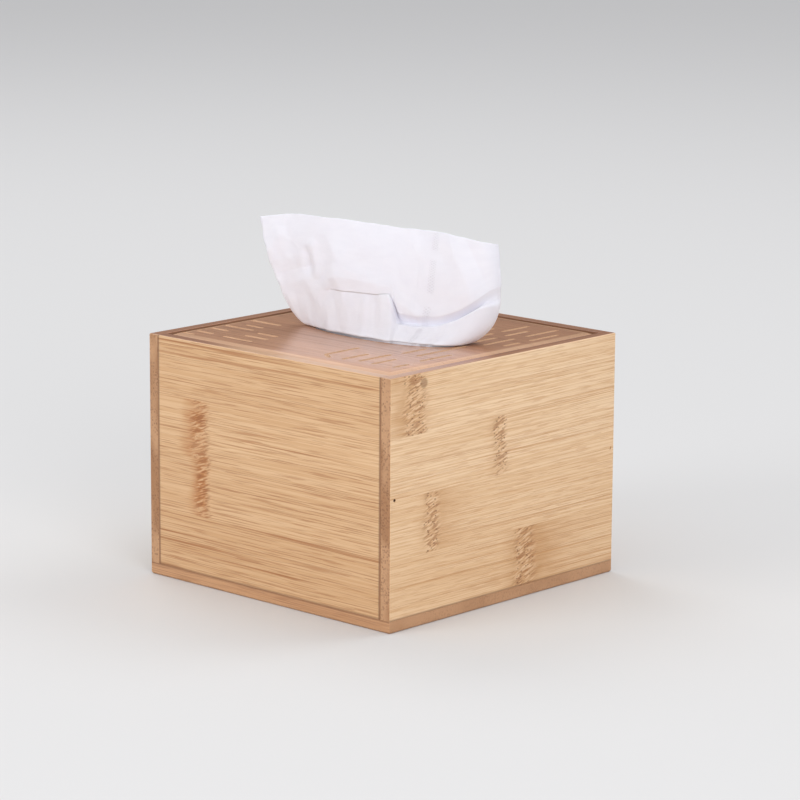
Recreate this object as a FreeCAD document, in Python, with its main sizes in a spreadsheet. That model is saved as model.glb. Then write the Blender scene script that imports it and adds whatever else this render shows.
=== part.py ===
import FreeCAD, Part
import math
import os

import Sketcher

# Square bamboo tissue box. A cover of four boards and an inset top board stands on a loose base,
# located by a smaller board glued to that base. A folded pack of tissues lies inside, and one sheet
# is pulled up through the oval slot. Millimetres, +Z up, origin at the middle of the base's underside,
# front towards -Y.

doc = FreeCAD.newDocument("tissue_box")

# Driving sizes

SIZES = {
    "box_width": (135.0, "outside width along X"),
    "box_depth": (135.0, "outside depth along Y"),
    "wall_height": (96.0, "height of the four wall boards"),
    "wall_thickness": (5.0, "thickness of the wall boards"),
    "base_thickness": (5.0, "thickness of the base board"),
    "top_thickness": (5.0, "thickness of the top board"),
    "locator_thickness": (4.0, "thickness of the board that locates the cover"),
    "locator_clearance": (0.5, "gap between the locating board and each wall"),
    "locator_lead": (1.0, "chamfer round the locating board's upper edge"),
    "outer_round": (0.6, "rounding of the box's outer edges"),
    "inner_round": (0.3, "rounding of the walls' inner top edges"),
    "foot_round": (1.0, "rounding under the base board"),
    "seam_width": (3.5, "width of the chamfer round the top board"),
    "seam_drop": (1.4, "depth of the chamfer round the top board"),
    "slot_length": (80.0, "length of the oval slot along X"),
    "slot_width": (30.0, "width of the oval slot along Y"),
    "slot_round": (1.0, "rounding of the slot's upper rim"),
    "pin_diameter": (1.3, "diameter of the corner pins"),
    "pin_length": (15.0, "length of the corner pins"),
    "pin_set": (0.3, "how far a pin is set below the wall's face"),
    "pack_side_room": (2.5, "gap between the folded pack and each side wall"),
    "pack_end_room": (17.5, "gap between the folded pack and the front and back walls"),
    "pack_height": (38.0, "height of the pack that is left"),
    "pack_bulge": (2.0, "how far the pack's folds bow out"),
    "sheet_thickness": (2.4, "thickness of the bunched sheet"),
    "sheet_clearance": (1.4, "gap between the sheet and the slot's rim"),
    "sheet_lift": (0.3, "gap between the sheet's tail and the pack"),
    "fan_rise": (42.0, "height of the sheet above the top board"),
    "fan_width": (110.0, "width of the sheet's top edge"),
    "fan_turn": (15.0, "turn of the sheet's top edge about Z, in degrees"),
    "fan_lean": (3.0, "how far the top edge stands in front of the slot's middle"),
    "fan_bulge": (5.0, "how far the sheet's front bows out"),
    "fan_roll": (8.0, "how far the sheet's right side rolls out"),
    "fan_return": (7.0, "how far the right side turns back at the top edge"),
    "fan_wave": (2.5, "depth of the wave along the top edge"),
}

sheet = doc.addObject("Spreadsheet::Sheet", "Sizes")
for row, (alias, (value, note)) in enumerate(SIZES.items(), start=1):
    sheet.set(f"A{row}", alias)
    sheet.set(f"B{row}", str(value))
    sheet.setAlias(f"B{row}", alias)
    sheet.set(f"C{row}", note)
doc.recompute()

# Sizes that several pieces share

INNER_WIDTH = "(Sizes.box_width - 2 * Sizes.wall_thickness)"
INNER_DEPTH = "(Sizes.box_depth - 2 * Sizes.wall_thickness)"
SIDE_WALL_X = "(Sizes.box_width - Sizes.wall_thickness) / 2"
END_WALL_Y = "(Sizes.box_depth - Sizes.wall_thickness) / 2"
BOX_TOP = "(Sizes.base_thickness + Sizes.wall_height)"
PIN_HEIGHT = "Sizes.wall_height / 2"
PACK_FLOOR = "(Sizes.base_thickness + Sizes.locator_thickness)"
PIN_GRIP = "(Sizes.pin_length + Sizes.pin_set - Sizes.wall_thickness)"


def size(name):
    """Return a driving size from the sheet as a number."""
    return float(sheet.get(name))


def place(item, x="0", y="0", z="0"):
    """Bind an object's place to expressions."""
    item.setExpression("Placement.Base.x", x)
    item.setExpression("Placement.Base.y", y)
    item.setExpression("Placement.Base.z", z)


def new_body(name, x="0", y="0", z="0"):
    """Start a body with its label and place."""
    body = doc.addObject("PartDesign::Body", name)
    body.Label = name
    place(body, x, y, z)
    return body


def new_sketch(body, name, plane, offset="0"):
    """Start a sketch on one of the body's origin planes, moved along the plane's normal."""
    sketch = body.newObject("Sketcher::SketchObject", name)
    support = next(item for item in body.Origin.OriginFeatures if item.Role == plane)
    sketch.AttachmentSupport = (support, [""])
    sketch.MapMode = "FlatFace"
    sketch.setExpression("AttachmentOffset.Base.z", offset)
    return sketch


def bind(sketch, constraint, name, expression):
    """Add a named dimension to a sketch and bind it to an expression."""
    index = sketch.addConstraint(constraint)
    sketch.renameConstraint(index, name)
    sketch.setExpression(f"Constraints.{name}", expression)


def centred_rectangle(sketch, width, depth):
    """Draw a rectangle about the sketch's origin, with bound sides."""
    corners = [FreeCAD.Vector(x, y, 0) for x, y in ((-1, -1), (1, -1), (1, 1), (-1, 1))]
    for start, end in zip(corners, corners[1:] + corners[:1]):
        sketch.addGeometry(Part.LineSegment(start, end))
    for line in range(4):
        sketch.addConstraint(Sketcher.Constraint("Coincident", line, 2, (line + 1) % 4, 1))
    for line, direction in enumerate(("Horizontal", "Vertical", "Horizontal", "Vertical")):
        sketch.addConstraint(Sketcher.Constraint(direction, line))
    sketch.addConstraint(Sketcher.Constraint("Symmetric", 0, 1, 1, 2, -1, 1))
    bind(sketch, Sketcher.Constraint("DistanceX", 0, 1, 0, 2, 2.0), "width", width)
    bind(sketch, Sketcher.Constraint("DistanceY", 1, 1, 1, 2, 2.0), "depth", depth)


def circle_at(sketch, name, x, y, radius):
    """Draw a circle with a bound centre and radius, both coordinates positive."""
    circle = sketch.addGeometry(Part.Circle(FreeCAD.Vector(1, 1, 0), FreeCAD.Vector(0, 0, 1), 0.5))
    bind(sketch, Sketcher.Constraint("Radius", circle, 0.5), f"{name}_radius", radius)
    bind(sketch, Sketcher.Constraint("DistanceY", -1, 1, circle, 3, 1.0), f"{name}_up", y)
    if x == "0":
        sketch.addConstraint(Sketcher.Constraint("PointOnObject", circle, 3, -2))
    else:
        bind(sketch, Sketcher.Constraint("DistanceX", -1, 1, circle, 3, 1.0), f"{name}_across", x)


def pad(body, name, sketch, length):
    """Pad a sketch by a bound length."""
    feature = body.newObject("PartDesign::Pad", name)
    feature.Profile = sketch
    feature.setExpression("Length", length)
    doc.recompute()
    return feature


def board(name, width, depth, height, x="0", y="0", z="0"):
    """Make a plain board: a centred rectangle padded upwards."""
    body = new_body(name, x, y, z)
    outline = new_sketch(body, f"{name}_outline", "XY_Plane")
    centred_rectangle(outline, width, depth)
    pad(body, f"{name}_pad", outline, height)
    return body


def edge_names(shape, wanted):
    """Name the edges whose middle point passes a test."""
    names = []
    for number, edge in enumerate(shape.Edges, start=1):
        middle = edge.valueAt((edge.FirstParameter + edge.LastParameter) / 2)
        if wanted(middle):
            names.append(f"Edge{number}")
    return names


def round_edges(body, name, radius, wanted):
    """Fillet the edges of a body's tip that pass a test."""
    base = body.Tip
    feature = body.newObject("PartDesign::Fillet", name)
    feature.Base = (base, edge_names(base.Shape, wanted))
    feature.setExpression("Radius", radius)
    doc.recompute()


def near(value, target):
    """Tell whether two lengths agree."""
    return abs(value - target) < 1e-4


# Base board, with the rounded foot that the box stands on

base = board("base_board", "Sizes.box_width", "Sizes.box_depth", "Sizes.base_thickness")
half_width = size("box_width") / 2
half_depth = size("box_depth") / 2
round_edges(
    base,
    "base_board_corners",
    "Sizes.outer_round",
    lambda at: near(abs(at.x), half_width) and near(abs(at.y), half_depth),
)
round_edges(base, "base_board_foot", "Sizes.foot_round", lambda at: near(at.z, 0))
round_edges(
    base,
    "base_board_seam",
    "Sizes.inner_round",
    lambda at: near(at.z, size("base_thickness")),
)

# Locating board, glued on the base inside the walls, with a lead-in chamfer

locator = board(
    "locating_board",
    f"{INNER_WIDTH} - 2 * Sizes.locator_clearance",
    f"{INNER_DEPTH} - 2 * Sizes.locator_clearance",
    "Sizes.locator_thickness",
    z="Sizes.base_thickness",
)
locator_pad = locator.Tip
locator_lead = locator.newObject("PartDesign::Chamfer", "locating_board_lead")
locator_lead.Base = (
    locator_pad,
    edge_names(locator_pad.Shape, lambda at: near(at.z, size("locator_thickness"))),
)
locator_lead.setExpression("Size", "Sizes.locator_lead")
doc.recompute()

# Side walls run the full depth, and the pins pass through them into the end walls

wall_top = size("wall_height")
side_face = size("wall_thickness") / 2


def side_wall(name, side):
    """Make the left (side -1) or right (side 1) wall with its two pin holes."""
    body = board(
        name,
        "Sizes.wall_thickness",
        "Sizes.box_depth",
        "Sizes.wall_height",
        x=f"{side} * {SIDE_WALL_X}",
        z="Sizes.base_thickness",
    )
    holes = new_sketch(body, f"{name}_pin_holes", "YZ_Plane")
    circle_at(holes, "pin", END_WALL_Y, PIN_HEIGHT, "Sizes.pin_diameter / 2")
    bore = body.newObject("PartDesign::Pocket", f"{name}_pin_bore")
    bore.Profile = holes
    bore.Type = "ThroughAll"
    bore.Midplane = True
    doc.recompute()
    pair = body.newObject("PartDesign::Mirrored", f"{name}_pin_pair")
    pair.Originals = [bore]
    pair.MirrorPlane = (next(i for i in body.Origin.OriginFeatures if i.Role == "XZ_Plane"), [""])
    body.Tip = pair
    doc.recompute()

    def is_outer(at):
        on_outer_face = near(at.x, side * side_face)
        on_end = near(abs(at.y), half_depth)
        on_top = near(at.z, wall_top)
        return (on_outer_face and on_end) or (on_top and (on_outer_face or on_end))

    round_edges(body, f"{name}_outer_round", "Sizes.outer_round", is_outer)
    round_edges(
        body,
        f"{name}_inner_round",
        "Sizes.inner_round",
        lambda at: near(at.x, -side * side_face) and near(at.z, wall_top),
    )
    return body


left_wall = side_wall("left_wall", -1)
right_wall = side_wall("right_wall", 1)

# Front and back walls fit between the side walls, with a blind pin hole in each end


def end_wall(name, side):
    """Make the front (side -1) or back (side 1) wall."""
    body = board(
        name,
        INNER_WIDTH,
        "Sizes.wall_thickness",
        "Sizes.wall_height",
        y=f"{side} * {END_WALL_Y}",
        z="Sizes.base_thickness",
    )
    mouth = new_sketch(body, f"{name}_pin_mouth", "YZ_Plane", f"{INNER_WIDTH} / 2")
    circle_at(mouth, "pin", "0", PIN_HEIGHT, "Sizes.pin_diameter / 2")
    bore = body.newObject("PartDesign::Pocket", f"{name}_pin_bore")
    bore.Profile = mouth
    bore.setExpression("Length", PIN_GRIP)
    doc.recompute()
    pair = body.newObject("PartDesign::Mirrored", f"{name}_pin_pair")
    pair.Originals = [bore]
    pair.MirrorPlane = (next(i for i in body.Origin.OriginFeatures if i.Role == "YZ_Plane"), [""])
    body.Tip = pair
    doc.recompute()
    round_edges(
        body,
        f"{name}_outer_round",
        "Sizes.outer_round",
        lambda at: near(at.y, side * side_face) and near(at.z, wall_top),
    )
    round_edges(
        body,
        f"{name}_inner_round",
        "Sizes.inner_round",
        lambda at: near(at.y, -side * side_face) and near(at.z, wall_top),
    )
    return body


front_wall = end_wall("front_wall", -1)
back_wall = end_wall("back_wall", 1)

# Corner pins, one through each end of each side wall, set just below its face

pins = []
for side in (-1, 1):
    for end in (-1, 1):
        pin = doc.addObject("Part::Cylinder", "corner_pin")
        pin.setExpression("Radius", "Sizes.pin_diameter / 2")
        pin.setExpression("Height", "Sizes.pin_length")
        pin.Placement.Rotation = FreeCAD.Rotation(FreeCAD.Vector(0, 1, 0), -90 * side)
        place(
            pin,
            f"{side} * (Sizes.box_width / 2 - Sizes.pin_set)",
            f"{end} * {END_WALL_Y}",
            f"Sizes.base_thickness + {PIN_HEIGHT}",
        )
        pins.append(pin)
corner_pins = doc.addObject("Part::Compound", "corner_pins")
corner_pins.Label = "corner_pins"
corner_pins.Links = pins

# Top board, inset between the walls, with the oval slot and a chamfer along the seam

top = board(
    "top_board",
    INNER_WIDTH,
    INNER_DEPTH,
    "Sizes.top_thickness",
    z=f"{BOX_TOP} - Sizes.top_thickness",
)
top_face = size("top_thickness")
slab = top.Tip
seam = top.newObject("PartDesign::Chamfer", "top_board_seam")
seam.Base = (slab, edge_names(slab.Shape, lambda at: near(at.z, top_face)))
seam.ChamferType = "Two distances"
seam.setExpression("Size", "Sizes.seam_drop")
seam.setExpression("Size2", "Sizes.seam_width")
doc.recompute()

oval = new_sketch(top, "top_board_slot_outline", "XY_Plane", "Sizes.top_thickness")
ellipse = oval.addGeometry(
    Part.Ellipse(FreeCAD.Vector(2, 0, 0), FreeCAD.Vector(0, 1, 0), FreeCAD.Vector(0, 0, 0))
)
oval.exposeInternalGeometry(ellipse)
long_axis = ellipse + 1
short_axis = ellipse + 2
oval.addConstraint(Sketcher.Constraint("Coincident", ellipse, 3, -1, 1))
oval.addConstraint(Sketcher.Constraint("Horizontal", long_axis))
bind(oval, Sketcher.Constraint("Distance", long_axis, 4.0), "length", "Sizes.slot_length")
bind(oval, Sketcher.Constraint("Distance", short_axis, 2.0), "width", "Sizes.slot_width")
slot = top.newObject("PartDesign::Pocket", "top_board_slot")
slot.Profile = oval
slot.Type = "ThroughAll"
doc.recompute()


def on_slot_rim(at):
    """Tell whether a point lies on the slot's upper rim."""
    across = at.x / (size("slot_length") / 2)
    along = at.y / (size("slot_width") / 2)
    return near(at.z, top_face) and abs(math.hypot(across, along) - 1) < 0.01


round_edges(top, "top_board_slot_round", "Sizes.slot_round", on_slot_rim)

# Folded pack of tissues, its folds bowing out at the front and back

PACK_WIDTH = f"{INNER_WIDTH} - 2 * Sizes.pack_side_room"
PACK_FOOT = f"{INNER_DEPTH} - 2 * Sizes.pack_end_room - 2 * Sizes.pack_bulge"
BULGE_RADIUS = "(Sizes.pack_height ^ 2 / 4 + Sizes.pack_bulge ^ 2) / (2 * Sizes.pack_bulge)"

pack_top = size("pack_height")
fold_crest = half_depth - size("wall_thickness") - size("pack_end_room")
fold_foot = fold_crest - size("pack_bulge")
front_foot = FreeCAD.Vector(-fold_foot, 0, 0)
back_foot = FreeCAD.Vector(fold_foot, 0, 0)
back_crest = FreeCAD.Vector(fold_crest, pack_top / 2, 0)
back_edge = FreeCAD.Vector(fold_foot, pack_top, 0)
front_edge = FreeCAD.Vector(-fold_foot, pack_top, 0)
front_crest = FreeCAD.Vector(-fold_crest, pack_top / 2, 0)

pack = new_body("tissue_pack", z=PACK_FLOOR)
profile = new_sketch(pack, "tissue_pack_profile", "YZ_Plane")
profile.addGeometry(Part.LineSegment(front_foot, back_foot))
profile.addGeometry(Part.Arc(back_foot, back_crest, back_edge))
profile.addGeometry(Part.LineSegment(back_edge, front_edge))
profile.addGeometry(Part.Arc(front_edge, front_crest, front_foot))
ARC_START, ARC_END = 1, 2
profile.addConstraint(Sketcher.Constraint("Coincident", 0, 2, 1, ARC_START))
profile.addConstraint(Sketcher.Constraint("Coincident", 1, ARC_END, 2, 1))
profile.addConstraint(Sketcher.Constraint("Coincident", 2, 2, 3, ARC_START))
profile.addConstraint(Sketcher.Constraint("Coincident", 3, ARC_END, 0, 1))
profile.addConstraint(Sketcher.Constraint("Horizontal", 0))
profile.addConstraint(Sketcher.Constraint("Symmetric", 0, 1, 0, 2, -1, 1))
profile.addConstraint(Sketcher.Constraint("Symmetric", 2, 1, 2, 2, -2))
profile.addConstraint(Sketcher.Constraint("Equal", 0, 2))
profile.addConstraint(Sketcher.Constraint("Equal", 1, 3))
bind(profile, Sketcher.Constraint("DistanceX", 0, 1, 0, 2, 2 * fold_foot), "depth", PACK_FOOT)
bind(profile, Sketcher.Constraint("DistanceY", 1, 1, 1, 2, pack_top), "height", "Sizes.pack_height")
bulge_radius = profile.Geometry[1].Radius
bind(profile, Sketcher.Constraint("Radius", 1, bulge_radius), "bulge", BULGE_RADIUS)
pack_pad = pack.newObject("PartDesign::Pad", "tissue_pack_pad")
pack_pad.Profile = profile
pack_pad.Midplane = True
pack_pad.setExpression("Length", PACK_WIDTH)
doc.recompute()

# Pulled sheet. Its tail and neck follow the slot's front rim and turn round the right end of the slot.
# Above the board it opens into a fan whose top edge is almost straight. Stations run along the sheet
# from its free left edge to the end of its right turn.

NECK_ANGLES = (182, 205, 235, 262, 290, 312, 334, 358, 382)
FAN_SHARES = (-1.0, -0.72, -0.42, -0.1, 0.22, 0.55, 0.9, 0.97, 0.94)
TURN_SHARES = (0.0, 0.0, 0.0, 0.0, 0.0, 0.0, 0.0, 0.5, 1.0)
ROLL_SHARES = (0.0, 0.0, 0.0, 0.0, 0.1, 0.4, 0.9, 1.0, 1.0)
FAN_LEVELS = (0.0, 0.05, 0.12, 0.21, 0.33, 0.48, 0.65, 0.82, 1.0)
BOW_DIRECTION = FreeCAD.Vector(0, -1, 0)
ROLL_DIRECTION = FreeCAD.Vector(1, 1, 0).normalize()
ROLL_LOWNESS = 0.6
WAVES_EACH_SIDE = 0.75


def neck_point(station):
    """Return a point of the sheet's middle line inside the slot."""
    inset = size("sheet_clearance") + size("sheet_thickness") / 2
    angle = math.radians(NECK_ANGLES[station])
    return FreeCAD.Vector(
        (size("slot_length") / 2 - inset) * math.cos(angle),
        (size("slot_width") / 2 - inset) * math.sin(angle),
        0,
    )


def top_edge_point(station):
    """Return a point of the sheet's middle line at its top edge."""
    turn = math.radians(size("fan_turn"))
    along = FreeCAD.Vector(math.cos(turn), math.sin(turn), 0)
    back = FreeCAD.Vector(-math.sin(turn), math.cos(turn), 0)
    middle = FreeCAD.Vector(0, -size("fan_lean"), 0)
    share = FAN_SHARES[station]
    point = middle + along * (share * size("fan_width") / 2)
    point += back * (size("fan_wave") * math.sin(2 * math.pi * WAVES_EACH_SIDE * share))
    return point + back * (size("fan_return") * TURN_SHARES[station])


def fan_point(station, level):
    """Return a point of the sheet's middle line at a level from 0, the rim, to 1, the top edge."""
    opening = math.sqrt(level)
    point = neck_point(station) * (1 - opening) + top_edge_point(station) * opening
    bow = math.sin(math.pi * level)
    roll = math.sin(math.pi * level ** ROLL_LOWNESS)
    point += BOW_DIRECTION * (size("fan_bulge") * bow * (1 - ROLL_SHARES[station]))
    point += ROLL_DIRECTION * (size("fan_roll") * roll * ROLL_SHARES[station])
    return point


def ribbon(middle_line, height):
    """Return a closed wire of the sheet's thickness about a middle line, one arc to three points."""
    half = size("sheet_thickness") / 2
    faces = ([], [])
    for index, point in enumerate(middle_line):
        before = middle_line[max(index - 1, 0)]
        after = middle_line[min(index + 1, len(middle_line) - 1)]
        run = (after - before).normalize()
        across = FreeCAD.Vector(run.y, -run.x, 0)
        lift = FreeCAD.Vector(0, 0, height)
        faces[0].append(point + across * half + lift)
        faces[1].append(point - across * half + lift)
    outer, inner = faces
    inner = inner[::-1]
    edges = []
    for line in (outer, inner):
        for start in range(0, len(line) - 1, 2):
            edges.append(Part.Arc(*line[start:start + 3]).toShape())
        next_start = inner[0] if line is outer else outer[0]
        edges.append(Part.LineSegment(line[-1], next_start).toShape())
    return Part.Wire(edges)


box_top = size("base_thickness") + size("wall_height")
tail_height = (
    size("base_thickness") + size("locator_thickness") + size("pack_height") + size("sheet_lift")
)
stations = range(len(NECK_ANGLES))
neck_line = [neck_point(station) for station in stations]
sections = [ribbon(neck_line, tail_height)]
for level in FAN_LEVELS:
    fan_line = [fan_point(station, level) for station in stations]
    sections.append(ribbon(fan_line, box_top + level * size("fan_rise")))
pulled_sheet = doc.addObject("Part::Feature", "pulled_sheet")
pulled_sheet.Label = "pulled_sheet"
pulled_sheet.Shape = Part.makeLoft(sections, True, True)

# Check and write each piece

doc.recompute()
for item in doc.Objects:
    if "Invalid" in item.State or "Error" in item.State:
        raise RuntimeError(f"{item.Name} failed: {item.State}")

pieces = [
    base,
    locator,
    front_wall,
    back_wall,
    left_wall,
    right_wall,
    top,
    corner_pins,
    pack,
    pulled_sheet,
]
os.makedirs("parts", exist_ok=True)
for piece in pieces:
    shape = piece.Shape
    if shape.isNull() or not shape.isValid():
        raise RuntimeError(f"{piece.Label} has no valid shape")
    box = shape.BoundBox
    print(
        f"{piece.Label}: {len(shape.Solids)} solids, {shape.Volume:.0f} mm3, "
        f"x {box.XMin:.2f} {box.XMax:.2f}, y {box.YMin:.2f} {box.YMax:.2f}, "
        f"z {box.ZMin:.2f} {box.ZMax:.2f}"
    )
    shape.exportStep(os.path.join("parts", f"{piece.Label}.step"))
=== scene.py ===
"""A square bamboo tissue box: laminated boards, an engraved top and a tissue pulled up through it."""

import logging
import math
from dataclasses import dataclass
from enum import Enum
from functools import partial, reduce
from typing import ClassVar, Sequence, Union

import bmesh
import bpy
from mathutils import Matrix, Quaternion, Vector, noise


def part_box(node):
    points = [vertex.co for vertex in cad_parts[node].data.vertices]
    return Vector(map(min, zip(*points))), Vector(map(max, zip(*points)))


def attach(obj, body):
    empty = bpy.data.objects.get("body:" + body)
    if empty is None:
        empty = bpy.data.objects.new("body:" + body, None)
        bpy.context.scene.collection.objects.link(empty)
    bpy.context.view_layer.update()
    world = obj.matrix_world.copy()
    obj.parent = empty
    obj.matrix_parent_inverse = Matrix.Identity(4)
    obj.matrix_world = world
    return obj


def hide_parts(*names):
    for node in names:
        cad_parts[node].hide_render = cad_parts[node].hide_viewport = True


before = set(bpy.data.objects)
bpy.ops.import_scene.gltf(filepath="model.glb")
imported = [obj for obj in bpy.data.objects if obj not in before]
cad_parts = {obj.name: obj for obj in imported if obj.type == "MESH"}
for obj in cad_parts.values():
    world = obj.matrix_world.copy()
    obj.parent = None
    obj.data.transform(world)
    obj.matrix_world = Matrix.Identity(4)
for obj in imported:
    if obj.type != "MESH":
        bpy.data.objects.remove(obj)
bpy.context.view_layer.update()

MM = 0.001
FAR = 1.0  # metres, beyond every board
LOG = logging.getLogger("tissue_box")

Colour = tuple[float, float, float]
Stretch = tuple[float, float, float]
Pair = tuple[float, float]
Socket = bpy.types.NodeSocket
Value = Union[Socket, float, Sequence[float]]


# Small helpers


def srgb(*channels: int) -> Colour:
    """Turn a colour of 0 to 255 as it looks on screen into the linear one that shaders use.

    Args:
        channels: Red, green and blue as seen on screen.

    Returns:
        The linear colour.
    """
    shares = [channel / 255 for channel in channels]
    return tuple(s / 12.92 if s <= 0.04045 else ((s + 0.055) / 1.055) ** 2.4 for s in shares)


def smoothstep(low: float, high: float, value: float) -> float:
    """Ease from 0 at low to 1 at high."""
    share = min(max((value - low) / (high - low), 0.0), 1.0)
    return share * share * (3 - 2 * share)


def fade(low: float, high: float, value: float) -> float:
    """Ease from 1 at low to 0 at high."""
    return 1 - smoothstep(low, high, value)


def curve(knots: Sequence[float], values: Sequence[float], at: float, crisp: bool = False) -> float:
    """Read a line through values at rising knots, smooth or with straight runs between crisp bends.

    Args:
        knots: Places of the values, in rising order.
        values: Values to pass through.
        at: Place to read.
        crisp: Whether the runs are straight.

    Returns:
        The line's value there.
    """
    last = len(knots) - 1
    index = max([0] + [i for i in range(last) if knots[i] <= at])
    span = knots[index + 1] - knots[index]
    rise = values[index + 1] - values[index]
    t = (at - knots[index]) / span
    straight = values[index] + t * rise
    if crisp:
        return straight

    def slope(i: int) -> float:
        """Return the line's slope at a knot."""
        before, after = max(i - 1, 0), min(i + 1, last)
        return (values[after] - values[before]) / (knots[after] - knots[before])

    start_pull = slope(index) * span - rise
    end_pull = rise - slope(index + 1) * span
    return straight + t * (1 - t) * ((1 - t) * start_pull + t * end_pull)


def add_object(name: str, mesh: bmesh.types.BMesh, material: bpy.types.Material) -> bpy.types.Object:
    """Make an object from a finished bmesh and link it to the scene.

    Args:
        name: Name of the piece.
        mesh: Its shape, which is freed.
        material: Its finish.

    Returns:
        The new object.
    """
    data = bpy.data.meshes.new(name)
    mesh.to_mesh(data)
    mesh.free()
    data.materials.append(material)
    made = bpy.data.objects.new(name, data)
    bpy.context.scene.collection.objects.link(made)
    return made


def shade_by_angle(mesh: bmesh.types.BMesh, sharp_angle: float) -> None:
    """Shade faces smooth and keep edges sharp where the surface turns by more than an angle.

    Args:
        mesh: Mesh to shade.
        sharp_angle: Angle in radians.
    """
    for face in mesh.faces:
        face.smooth = True
    for edge in mesh.edges:
        edge.smooth = edge.calc_face_angle(math.pi) < sharp_angle


def lay_sheet(
    mesh: bmesh.types.BMesh, columns: int, rows: int, width: float, length: float, start: float = 0.0
) -> dict[bmesh.types.BMVert, Pair]:
    """Add a flat grid for one sheet of paper, with a UV map in metres of the sheet.

    Args:
        mesh: Mesh that gets the grid.
        columns: Cells across the sheet.
        rows: Cells along it.
        width: Width of the sheet.
        length: Length of the sheet.
        start: Where its UV map starts along the sheet.

    Returns:
        Each vertex and its shares across and along the sheet.
    """
    layer = mesh.loops.layers.uv.verify()
    grid = bmesh.ops.create_grid(mesh, x_segments=columns, y_segments=rows, size=0.5)
    places = {v: (v.co.x + 0.5, v.co.y + 0.5) for v in grid["verts"]}
    for face in {face for vertex in places for face in vertex.link_faces}:
        face.smooth = True
        for loop in face.loops:
            across, along = places[loop.vert]
            loop[layer].uv = (across * width, along * length + start)
    return places


# Node trees


@dataclass(frozen=True)
class Pattern:
    """A noise or scattered dots: grains to a metre along X, Y and Z, and the ramp read from it."""

    stretch: Stretch
    low: float
    high: float
    detail: float = 1.0
    start: float = 0.0


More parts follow.
